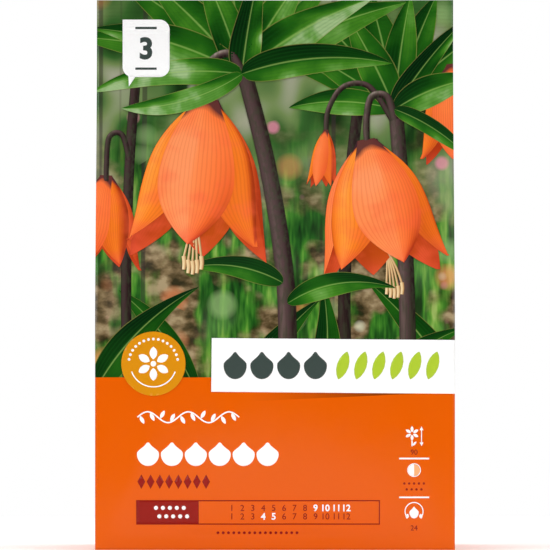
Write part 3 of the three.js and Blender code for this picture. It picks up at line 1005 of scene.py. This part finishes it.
def picture(inks):
    """The front's picture: two tall plants in flower, with more behind them."""
    # The upright stalks, then the short arching ones that the blooms hang from.
    stems = (
        (((5, 60), (4, 105), (-3, 150), (-13, 190)), 7.6, -30, 0.8),
        (((52, 60), (51, 110), (49, 150), (47, 176)), 6.6, -52, 0.85),
        (((-57, 60), (-58, 100), (-57, 150), (-54, 192)), 4.2, -96, 0.9, 0.7),
        (((28, 60), (27, 100), (30, 150), (35, 190)), 5.2, -98, 0.8, 0.6),
        (((-57, 152), (-60, 162), (-65, 161), (-66, 150), (-66, 143)), 2.2, -60, 0.9, 0.8),
        (((-13, 187), (-18, 194), (-25, 191), (-27, 182), (-27, 174)), 3.4, 20, 0.8),
        (((47, 168), (44, 177), (38, 177), (36, 169), (36, 158)), 3.0, -5, 0.8),
        (((46, 168), (37, 181), (27, 181), (21, 172), (20, 162)), 2.4, -36, 0.8, 0.9))
    bells = (
        (-27, 176, 12, 64, 32, -4, 0.12, 6), (36, 160, -16, 55, 28, 9, 0.1, -14),
        (-66, 146, -68, 38, 16, -3, 0.05, 30, 0.8), (20, 164, -34, 24, 6.5, -5, 0.05, 20, 0.85),
        (70, 190, -66, 40, 18, 4, 0.05, 10, 0.8))
    threads = (
        (-31, 128, -10, 16, 3.4, -4), (44, 116, -36, 14, 3.0, 10))
    # Above each of the two stalks stands one whorl of leaves, with a darker one behind it.
    heads = (
        (-13, 186, (
            (172, 60, 15, 30, 30, 8, 1.0, 0.4), (150, 62, 16, 26, 2, -14, 0.95, 1.4),
            (128, 56, 17, 14, -14, 12, 0.9, 2.2), (106, 46, 16, 10, -2, -8, 1.0, 0.9),
            (84, 44, 17, -8, 14, 10, 1.0, 0.2), (64, 52, 16, -14, -8, -12, 0.85, 1.9),
            (42, 60, 17, -24, 4, 14, 1.05, 2.8), (20, 60, 15, -32, 34, -10, 0.95, 0.6),
            (214, 50, 13, -36, 66, 12, 1.0, 1.0))),
        (-13, 188, (
            (161, 66, 18, 16, -42, 10, 0.72, 0.9), (139, 60, 19, 10, -50, -12, 0.66, 0.2),
            (116, 52, 18, 12, -42, 10, 0.7, 1.7), (95, 46, 19, 6, -50, -8, 0.62, 2.5),
            (74, 46, 18, -8, -42, 12, 0.7, 0.8), (53, 58, 19, -12, -50, -10, 0.66, 1.5),
            (31, 70, 18, -18, -42, 8, 0.75, 2.2))),
        (47, 172, (
            (164, 42, 13, 30, -52, 10, 0.8, 1.6), (140, 44, 14, 16, -66, -10, 0.7, 0.5),
            (112, 44, 15, 10, -46, 12, 0.9, 2.4), (86, 46, 15, -8, -56, -8, 0.8, 1.2),
            (60, 44, 14, -16, -40, 10, 0.95, 0.3), (34, 40, 13, -30, -26, -12, 0.85, 2.0),
            (-20, 34, 11, -26, 16, 12, 1.0, 0.8))),
        (47, 174, (
            (152, 50, 16, 14, -82, 10, 0.62, 0.1), (126, 48, 17, 10, -90, -12, 0.56, 1.1),
            (99, 46, 17, 8, -82, 10, 0.6, 2.0), (73, 46, 17, -8, -90, -10, 0.58, 0.7),
            (47, 44, 16, -14, -82, 10, 0.62, 1.6))))
    low_leaves = (
        (-70, 62, 62, 58, 13, -34, -92, 0.55), (-30, 60, 112, 52, 12, 30, -106, 0.5),
        (-14, 60, 60, 50, 11, -20, -106, 0.45), (18, 60, 78, 46, 12, 24, -94, 0.5),
        (72, 60, 118, 58, 13, 22, -106, 0.55), (40, 60, 58, 44, 11, -40, -92, 0.45),
        (5, 96, 34, 44, 10, -52, 36, 0.8), (3, 104, 150, 40, 10, 44, -14, 0.7))
    print_picture("picture", -1, PANEL_TOP, inks, stems, bells, threads, heads, low_leaves)


def back_picture(inks):
    """The back's picture, a low band: the heads of two smaller plants."""
    stems = (
        (((-22, 140), (-23, 160), (-25, 180), (-28, 200)), 4.6, -30, 0.8),
        (((38, 140), (38, 160), (37, 176), (35, 190)), 3.8, -52, 0.8, 0.9),
        (((-28, 196), (-33, 201), (-38, 198), (-39, 192)), 2.0, 20, 0.8),
        (((-26, 194), (-20, 199), (-13, 196), (-12, 189)), 2.0, 10, 0.8),
        (((36, 186), (41, 190), (46, 188), (47, 182)), 1.8, -20, 0.8),
        (((35, 186), (30, 190), (26, 188), (25, 183)), 1.8, -24, 0.8))
    bells = (
        (-39, 193, 12, 32, 14.5, -5, 0.12, 8), (-12, 190, 4, 30, 13.5, 6, 0.1, -16),
        (47, 183, -30, 25, 11.5, 6, 0.1, 12, 0.95), (25, 184, -34, 24, 11, -5, 0.05, -20, 0.95),
        (-64, 180, -70, 22, 9, -3, 0.05, 22, 0.8))
    threads = (
        (-41, 168, 0, 8, 1.7, -5), (-10, 166, -8, 8, 1.6, 6))
    heads = (
        (-28, 197, (
            (176, 34, 8, 26, 30, 8, 1.0, 0.4), (150, 32, 9, 20, 2, -14, 0.95, 1.4),
            (122, 28, 9, 12, -14, 12, 0.9, 2.2), (96, 26, 9, -6, -2, -8, 1.0, 0.9),
            (70, 28, 9, -10, 14, 10, 1.0, 0.2), (44, 33, 9, -20, -8, -12, 0.9, 1.9),
            (16, 36, 8, -28, 34, 14, 1.05, 2.8))),
        (35, 187, (
            (168, 28, 7, 26, -52, 10, 0.85, 1.6), (140, 28, 8, 14, -66, -10, 0.75, 0.5),
            (112, 27, 8, 10, -46, 12, 0.9, 2.4), (84, 27, 8, -8, -56, -8, 0.85, 1.2),
            (56, 29, 8, -14, -40, 10, 0.95, 0.3), (26, 30, 7, -26, -26, -12, 0.9, 2.0))),
        (-28, 199, (
            (163, 36, 10, 12, -62, -10, 0.7, 0.8), (136, 34, 10, 8, -70, 12, 0.66, 0.2),
            (108, 30, 10, 6, -62, 10, 0.7, 1.7), (57, 34, 10, -12, -70, -10, 0.66, 1.5))))
    low_leaves = (
        (-66, 144, 60, 30, 7, -30, -92, 0.6), (-46, 144, 110, 28, 7, 26, -96, 0.55),
        (-4, 144, 66, 30, 7, -24, -90, 0.6), (14, 144, 104, 26, 6, 20, -96, 0.55),
        (60, 144, 112, 32, 7, 24, -90, 0.6), (70, 144, 100, 26, 6, -20, -96, 0.55))
    print_picture("back_picture", 1, BACK_PANEL_TOP, inks, stems, bells, threads, heads, low_leaves)


# ---------------------------------------------------------------- flat print on the front

def vine(bm, x0, x1, z, rise, width):
    """A thin waving stem with a leaf in each bend."""
    waves = 2.5

    def height(x):
        return z + rise * math.sin(2 * math.pi * waves * (x - x0) / (x1 - x0))

    def place(u, v):
        x = mix(x0, x1, v)
        slope = height(x + 0.05) - height(x - 0.05)
        along = Vector((0.1, slope)).normalized()
        return Vector((x - along.y * u * width / 2, height(x) + along.x * u * width / 2, 0))

    grid_sheet(bm, 1, 90, place)
    for n in range(round(4 * waves)):
        x = mix(x0, x1, (n + 0.25) / (4 * waves))
        way = -1 if n % 4 in (0, 1) else 1
        span = abs(x1 - x0)
        petal_mark(bm, x, height(x) + way * 0.35, 0, 0.086 * span, 0.038 * span, 62 * way)


def flower_mark(bm, x, z, size):
    """A six-petalled flower on a stem with one leaf; size is a petal's length."""
    for n in range(6):
        petal_mark(bm, x, z, 0.18 * size, size, 0.43 * size, 90 + 60 * n)
    stroke(bm, x, z - 1.8 * size, x, z - size, 0.16 * size)
    petal_mark(bm, x + 0.1 * size, z - 1.7 * size, 0, 0.75 * size, 0.3 * size, 48)


def front_print():
    white = solid_ink("white gravure ink", WHITE)
    slate = solid_ink("slate gravure ink", SLATE)
    lime = solid_ink("lime gravure ink", LIME)
    ochre = solid_ink("ochre gravure ink", OCHRE)
    dark_red = solid_ink("dark red gravure ink", DARK_RED)
    over = OVER_PICTURE
    badge_x, badge_z = -47.3, 72.5
    icon_x = 54.1
    planting_z, flowering_z = 16.4, 13.1
    month_x, month_step = -16.8, 4.07

    def months(bm, planting, flowering, height, weight=0.0):
        for z, shown in ((planting_z, planting), (flowering_z, flowering)):
            for n in shown:
                numeral(bm, str(n + 1), month_x + month_step * n, z, height, weight)

    def plate(bm):
        figure(bm, (-24.8, 61.6), (70, 60.8), (70, 81.7), (-24.6, 82.5))

    def plate_bulbs(bm):
        for n in range(4):
            bulb_mark(bm, -15.5 + 10.4 * n, 71.8, 10.6, 9.0)

    def plate_leaves(bm):
        for n in range(6):
            petal_mark(bm, 24.6 + 7.0 * n, 66.4, 0, 11.4, 4.6, 72)

    def plate_shadow(bm):
        figure(bm, (-17, 57.6), (54, 60.8), (54, 61.2), (-17, 61.6))

    def badge(bm):
        disc(bm, badge_x, badge_z, 12.5, 64)

    def badge_lines(bm):
        band(bm, badge_x, badge_z, 9.0, 0.45, 200, 340, 40)
        for n in range(15):
            turn = math.radians(10 + 160 * n / 14)
            disc(bm, badge_x + 9.6 * math.cos(turn), badge_z + 9.6 * math.sin(turn), 0.55, 12)
        for n in range(6):
            petal_mark(bm, badge_x, badge_z, 1.7, 6.6, 3.0, 30 + 60 * n)
        disc(bm, badge_x, badge_z, 1.1, 20)

    def tag(bm):
        box(bm, -59.9, 184.8, -41.4, 207.4, 4, square=(3,))
        figure(bm, (-57.4, 181), (-54.9, 184.8), (-55.9, 184.8), (-56.8, 184.9), (-57.6, 185.18))

    def tag_number(bm):
        numeral(bm, "3", -50.7, 196.1, 8.4, 0.42)
        for z in (204.1, 188.1):
            stroke(bm, -54.9, z, -46.5, z, 0.9)

    def white_marks(bm):
        vine(bm, -53.5, -13.9, 51.7, 2.1, 0.55)
        for n in range(6):
            bulb_mark(bm, -49.4 + 9.3 * n, 37.3, 9.2, 8.6)
        for z in (35.6, 20.5):
            stroke(bm, icon_x - 5.8, z, icon_x + 5.9, z, 0.65)
        flower_mark(bm, icon_x - 0.8, 45.4, 2.8)
        arrow(bm, icon_x + 2.9, 40.4, icon_x + 2.9, 48.1, 0.35, 1.5)
        half_disc(bm, icon_x, 31.1, 2.3, -1)
        band(bm, icon_x, 31.1, 2.5, 0.3, count=40)
        bulb_mark(bm, icon_x, 14.6, 4.6, 3.6)
        band(bm, icon_x, 15.0, 3.5, 0.4, -40, 220, 36)
        for way in (-1, 1):
            petal_mark(bm, icon_x + way * 2.7, 12.9, -1.2, 0.7, 1.3, 270 + way * 12)

    def half_sun(bm):
        half_disc(bm, icon_x, 31.1, 2.3, 1)

    def dark_red_marks(bm):
        for n in range(8):
            diamond(bm, -52.0 + 3.6 * n, 26.6, 3.0, 5.6)
        frame_line(bm, -54.0, 9.9, 40.8, 19.4, 0.4)
        box(bm, -53.6, 10.3, -29.7, 19.0)
        months(bm, range(8), [n for n in range(12) if n not in (3, 4)], 2.5)
        numeral(bm, "90", icon_x, 38.1, 2.1)
        numeral(bm, "24", icon_x, 8.6, 2.1)
        for count, z, first, step, radius in (
                (16, 6.7, -22.2, 2.05, 0.55), (5, 25.9, icon_x - 3.8, 1.9, 0.45),
                (4, 23.6, icon_x - 2.85, 1.9, 0.45)):
            for n in range(count):
                disc(bm, first + step * n, z, radius, 12)

    def white_months(bm):
        months(bm, range(8, 12), (3, 4), 2.6, 0.1)
        for z, first in ((planting_z, -46.3), (flowering_z, -45.0)):
            for n in range(5):
                disc(bm, first + 2.7 * n, z, 0.8, 16)

    shadow = printed_film("halftone plate shadow", plate_shadow_ink)
    pale = solid_ink("pale orange gravure ink", "#F6B27C")
    print_piece("plate_shadow", plate_shadow, shadow, "printed_front_film", -2, thickness=0)
    for name, draw, ink, slot, layer in (
            ("name_plate", plate, white, "print_white", over),
            ("plate_bulbs", plate_bulbs, slate, "print_slate", over + 1),
            ("plate_leaves", plate_leaves, lime, "print_lime", over + 1),
            ("badge", badge, ochre, "print_ochre", over),
            ("badge_lines", badge_lines, white, "print_white", over + 1),
            ("tag", tag, white, "print_white", over),
            ("tag_number", tag_number, slate, "print_slate", over + 1),
            ("white_marks", white_marks, white, "print_white", 0),
            ("half_sun", half_sun, pale, "print_ochre", 0),
            ("dark_red_marks", dark_red_marks, dark_red, "print_dark_red", 0),
            ("white_months", white_months, white, "print_white", 1)):
        print_piece(name, draw, ink, slot, layer)


# ---------------------------------------------------------------- flat print on the back

def back_print():
    """How to plant the bulb, told in pictures and plain numbers."""
    columns = (-40.0, 0.0, 40.0)
    soil = 62.0
    month_x, month_step = -50.6, 9.2

    def panel(bm):
        box(bm, -61, 14, 61, 101, 3)
        vine(bm, -44, 44, 138, 4, 1.1)

    def slate_marks(bm):
        for x in columns:
            stroke(bm, x - 16, soil, x + 16, soil, 0.7)
        depth, spacing, height = columns
        bulb_mark(bm, depth - 4, 49.5, 13, 11)
        arrow(bm, depth + 7, 43.2, depth + 7, soil - 0.6, 0.5, 2.4)
        numeral(bm, "20", depth + 12.5, 52.5, 3.6)
        for way in (-1, 1):
            bulb_mark(bm, spacing + 9 * way, 54, 9, 7.6)
        arrow(bm, spacing - 9, 46, spacing + 9, 46, 0.5, 2.4)
        numeral(bm, "25", spacing, 42, 3.6)
        bulb_mark(bm, height - 4, 56.5, 7.4, 6.2)
        arrow(bm, height + 7, soil + 0.6, height + 7, 93, 0.5, 2.4)
        numeral(bm, "90", height + 12.5, 78, 3.6)
        for n in range(12):
            numeral(bm, str(n + 1), month_x + month_step * n, 34.2, 3.0)

    def month_boxes(bm, shown):
        for n in shown:
            middle = month_x + month_step * n
            box(bm, middle - 4, 22.5, middle + 4, 29.0)

    def green_marks(bm):
        stroke(bm, columns[2] - 4, soil + 0.5, columns[2] - 4, 82, 0.9)
        for side, turn in ((1, 58), (-1, 122)):
            for z in (66, 72, 78):
                petal_mark(bm, columns[2] - 4 + 0.5 * side, z, 0.3, 8.5, 2.2, turn)
        for x in (columns[0] - 4, columns[1] - 9, columns[1] + 9):
            for turn in (68, 90, 112):
                petal_mark(bm, x + (90 - turn) * 0.03, soil + 0.6, 0.2, 6.5, 1.7, turn)
        month_boxes(bm, (2, 3))

    def orange_marks(bm):
        for turn in (-90, -40, -140):
            petal_mark(bm, columns[2] - 4, 90, 0.2, 8.0, 3.6, turn)
        month_boxes(bm, (8, 9, 10))
        disc(bm, columns[0] - 4, 83, 4.4, 40)
        for n in range(12):
            petal_mark(bm, columns[0] - 4, 83, 5.4, 8.0, 1.0, 30 * n)
        half_disc(bm, columns[1] + 1, 83, 4.4, 1)

    def red_marks(bm):
        band(bm, columns[1] + 1, 83, 5.4, 0.5)
        for n in range(12):
            middle = month_x + month_step * n
            frame_line(bm, middle - 4.2, 22.3, middle + 4.2, 29.2, 0.25)

    for name, draw, colour, slot, layer in (
            ("back_panel_print", panel, WHITE, "print_white", 0),
            ("back_slate_marks", slate_marks, SLATE, "print_slate", 1),
            ("back_leaf_marks", green_marks, LIME, "print_lime", 1),
            ("back_orange_marks", orange_marks, OCHRE, "print_ochre", 1),
            ("back_red_marks", red_marks, DARK_RED, "print_dark_red", 2)):
        ink = solid_ink(f"{name.split('_')[1]} gravure ink on the back", colour)
        print_piece(name, draw, ink, slot, layer, 1)


# ---------------------------------------------------------------- the studio

def studio():
    """A pale floor under a white studio sky, with soft light from both sides and above."""
    bm = bmesh.new()
    bmesh.ops.create_circle(bm, cap_ends=True, radius=0.5, segments=96)
    mesh = bpy.data.meshes.new("floor")
    bm.to_mesh(mesh)
    bm.free()
    floor = put_in_scene("floor", mesh)
    paper, tree, surface, _ = new_material("matt studio paper")
    feed(tree, surface, {"Base Color": "#FDFCFA", "Roughness": 0.9})
    mesh.materials.append(paper)

    def soft_box(name, x, y, z, size, power):
        lamp = bpy.data.lights.new(name, "AREA")
        lamp.shape = "SQUARE"
        lamp.size = size
        lamp.energy = power
        holder = put_in_scene(name, lamp)
        holder.location = (x, y, z)
        towards = Vector((0, 0, 0.1)) - holder.location
        holder.rotation_euler = towards.to_track_quat("-Z", "Y").to_euler()

    soft_box("left light", -1.5, -1.2, 0.9, 1.2, 22)
    soft_box("right light", 1.5, -1.2, 0.7, 1.2, 17.5)
    soft_box("top light", 0, 0.2, 2.0, 1.4, 18)

    # The camera sees white paper all round. The film mirrors a room that is dim in front of it
    # and bright behind, as with a black card behind the camera.
    world = bpy.data.worlds.new("studio")
    bpy.context.scene.world = world
    world.use_nodes = True
    tree = world.node_tree
    way = add(tree, "TexCoord", out="Generated")
    along = add(tree, "SeparateXYZ", (way,), "Y")
    share = add(tree, "MapRange", (along, -1, 0.7, 0, 1))
    room = add(tree, "ValToRGB", (share,), stops=(
        (0.0, "#1E1E1E"), (0.06, "#303030"), (0.3, "#8A8A8A"), (1.0, "#FFFFFF")))
    seen = add(tree, "LightPath", out="Is Camera Ray")
    feed(tree, tree.nodes["Background"], {"Color": tinted(tree, room, (seen, WHITE))})
    bpy.context.scene.view_settings.view_transform = "Standard"


def camera():
    distance = 4.0                       # metres from the packet's middle
    seen_height = (PACK_HEIGHT - 1.0) * MM
    lens = bpy.data.cameras.new("camera")
    lens.sensor_width = 36
    lens.lens = 36 * (distance - HALF_DEPTH * MM) / seen_height
    lens.clip_start, lens.clip_end = 0.1, 50
    holder = put_in_scene("camera", lens)
    holder.location = (0, -distance, seen_height / 2)
    holder.rotation_euler = (math.pi / 2, 0, 0)
    bpy.context.scene.camera = holder


# ---------------------------------------------------------------- the packet

def film_panels():
    for side, name, panel_top in ((-1, "front", PANEL_TOP), (1, "back", BACK_PANEL_TOP)):
        ink = panel_film_print(f"gravure-printed polypropylene, {name}", "X", panel_top)
        keep_piece(f"{name}_film", panel_film(side), ink,
                   f"printed_{name}_film", FILM, -1.0, [f"{name}_panel"])
    side_ink = panel_film_print("gravure-printed polypropylene, sides", "Y", PANEL_TOP)
    base_ink = solid_ink("orange gravure ink on the base", ORANGE)
    for side, name in ((-1, "left"), (1, "right")):
        keep_piece(f"gusset_film_{name}", gusset_film(side), side_ink,
                   "printed_side_film", FILM, 0.0, [f"side_gusset_{name}"])
    keep_piece("base_film", base_film(), base_ink, "plain_base_film", FILM, 1.0, ["base_panel"])


BULB_RADIUS = 38.4       # the bulb's size and outline are those of the CAD
BULB_HEIGHT = 60.0
BULB_LIFT = 13.0
BULB_LINE = ((0, 0.03), (0.15, 0.03), (0.4, 0.0), (0.8, 0.17), (0.98, 0.42), (0.9, 0.68),
             (0.6, 0.88), (0.3, 0.99), (0.19, 0.96), (0.14, 0.8), (0.07, 0.74), (0, 0.72))
SCALES = 4
ROOTS = 34


def bulb():
    """Thick scales wrapped round one another, wrinkled as they dried, with a ring of dry roots
    below and the hole of last year's stem on top."""
    bm = new_sheet("dry")
    dry = bm.verts.layers.float["dry"]
    dryness = []

    def flesh(u, v):
        out, up = smooth_line(BULB_LINE, v)
        share = (SCALES * (u + 1) / 2) % 1
        edge = 0.05                  # share of a scale's width that its free edge takes
        relief = share / (1 - edge) if share < 1 - edge else (1 - share) / edge
        turn = math.pi * u - 1.3 * math.sin(1.4 * (up - 0.5))
        turn += 0.09 * math.sin(6 * up + 2 * math.pi * u) + 0.05 * math.sin(11 * up)
        fleshy = smooth(out * 1.6)
        wrinkle = noise.noise(Vector((5 * math.cos(turn), 5 * math.sin(turn), 1.2 * up)))
        fine = noise.noise(Vector((22 * math.cos(turn), 22 * math.sin(turn), 2.2 * up)))
        dent = noise.noise(Vector((1.3 * math.cos(turn), 1.3 * math.sin(turn), 2.4 * up)))
        under = 3.2 * (1 - relief) + 0.9 * wrinkle + 0.3 * fine + 1.6 * dent + 1.6
        radius = max(BULB_RADIUS * out - under * fleshy, 0)
        rim = smooth((up - 0.8) / 0.15) * smooth(out * 4)
        height = BULB_HEIGHT * up - rim * (3.2 * (1 - relief) + 1.5 * abs(wrinkle))
        at_edge = smooth((0.1 - min(share, abs(1 - edge - share))) / 0.1)
        plate = smooth((0.1 - up) / 0.1)
        hole = smooth((0.2 - out) / 0.12) * smooth((up - 0.5) / 0.2)
        dryness.append(0.85 * max(0.95 * at_edge * fleshy * (0.6 + wrinkle), plate, hole))
        return Vector((radius * math.cos(turn), radius * math.sin(turn), BULB_LIFT + height))

    for corner, share in zip(grid_sheet(bm, 240, 110, flesh), dryness):
        corner[dry] = clamp01(share)

    for n in range(ROOTS):
        turn = 2.4 * n
        start = 3.5 + 10 * (n / ROOTS) ** 0.5
        spread = 2.5 + 4 * abs(math.sin(5.1 * n))
        drop = 4.5 + 3.5 * abs(math.sin(3.3 * n))
        thick = 0.55 + 0.35 * abs(math.sin(7.7 * n))

        def root(u, v):
            out = start + spread * v * v
            swing = turn + 0.35 * math.sin(3 * v + n) * v
            radius = thick * (1 - v ** 3) * (0.75 + 0.25 * math.cos(14 * v + n))
            side = math.pi * u
            return Vector((out * math.cos(swing) + radius * math.cos(side),
                           out * math.sin(swing) + radius * math.sin(side),
                           BULB_LIFT + 3 - (drop + 3) * v))

        for corner in grid_sheet(bm, 8, 14, root):
            corner[dry] = 0.8
    bmesh.ops.remove_doubles(bm, verts=bm.verts, dist=1e-4)
    bmesh.ops.recalc_face_normals(bm, faces=bm.faces)
    return bm


def filling():
    """The bed of shavings keeps its CAD form; the bulb in it is drawn finer."""
    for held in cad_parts["wood_shavings"].material_slots:
        held.material = planed_pine()
    keep_piece("bulb", bulb(), bulb_scales(), "bulb_flesh", replaces=["crown_imperial_bulb"])


camera()
film_panels()
filling()
picture_inks = [
    (part, printed_film(f"halftone {name}", ink), slot) for part, name, ink, slot in (
        ("stalks", "stalks", stalk_ink, "print_foliage"),
        ("leaves", "leaves", leaf_ink, "print_foliage"),
        ("blooms", "petals", petal_ink, "print_bloom"),
        ("stamens", "stamens", stamen_ink, "print_bloom"))]
picture(picture_inks)
back_picture(picture_inks)
front_print()
back_print()
studio()
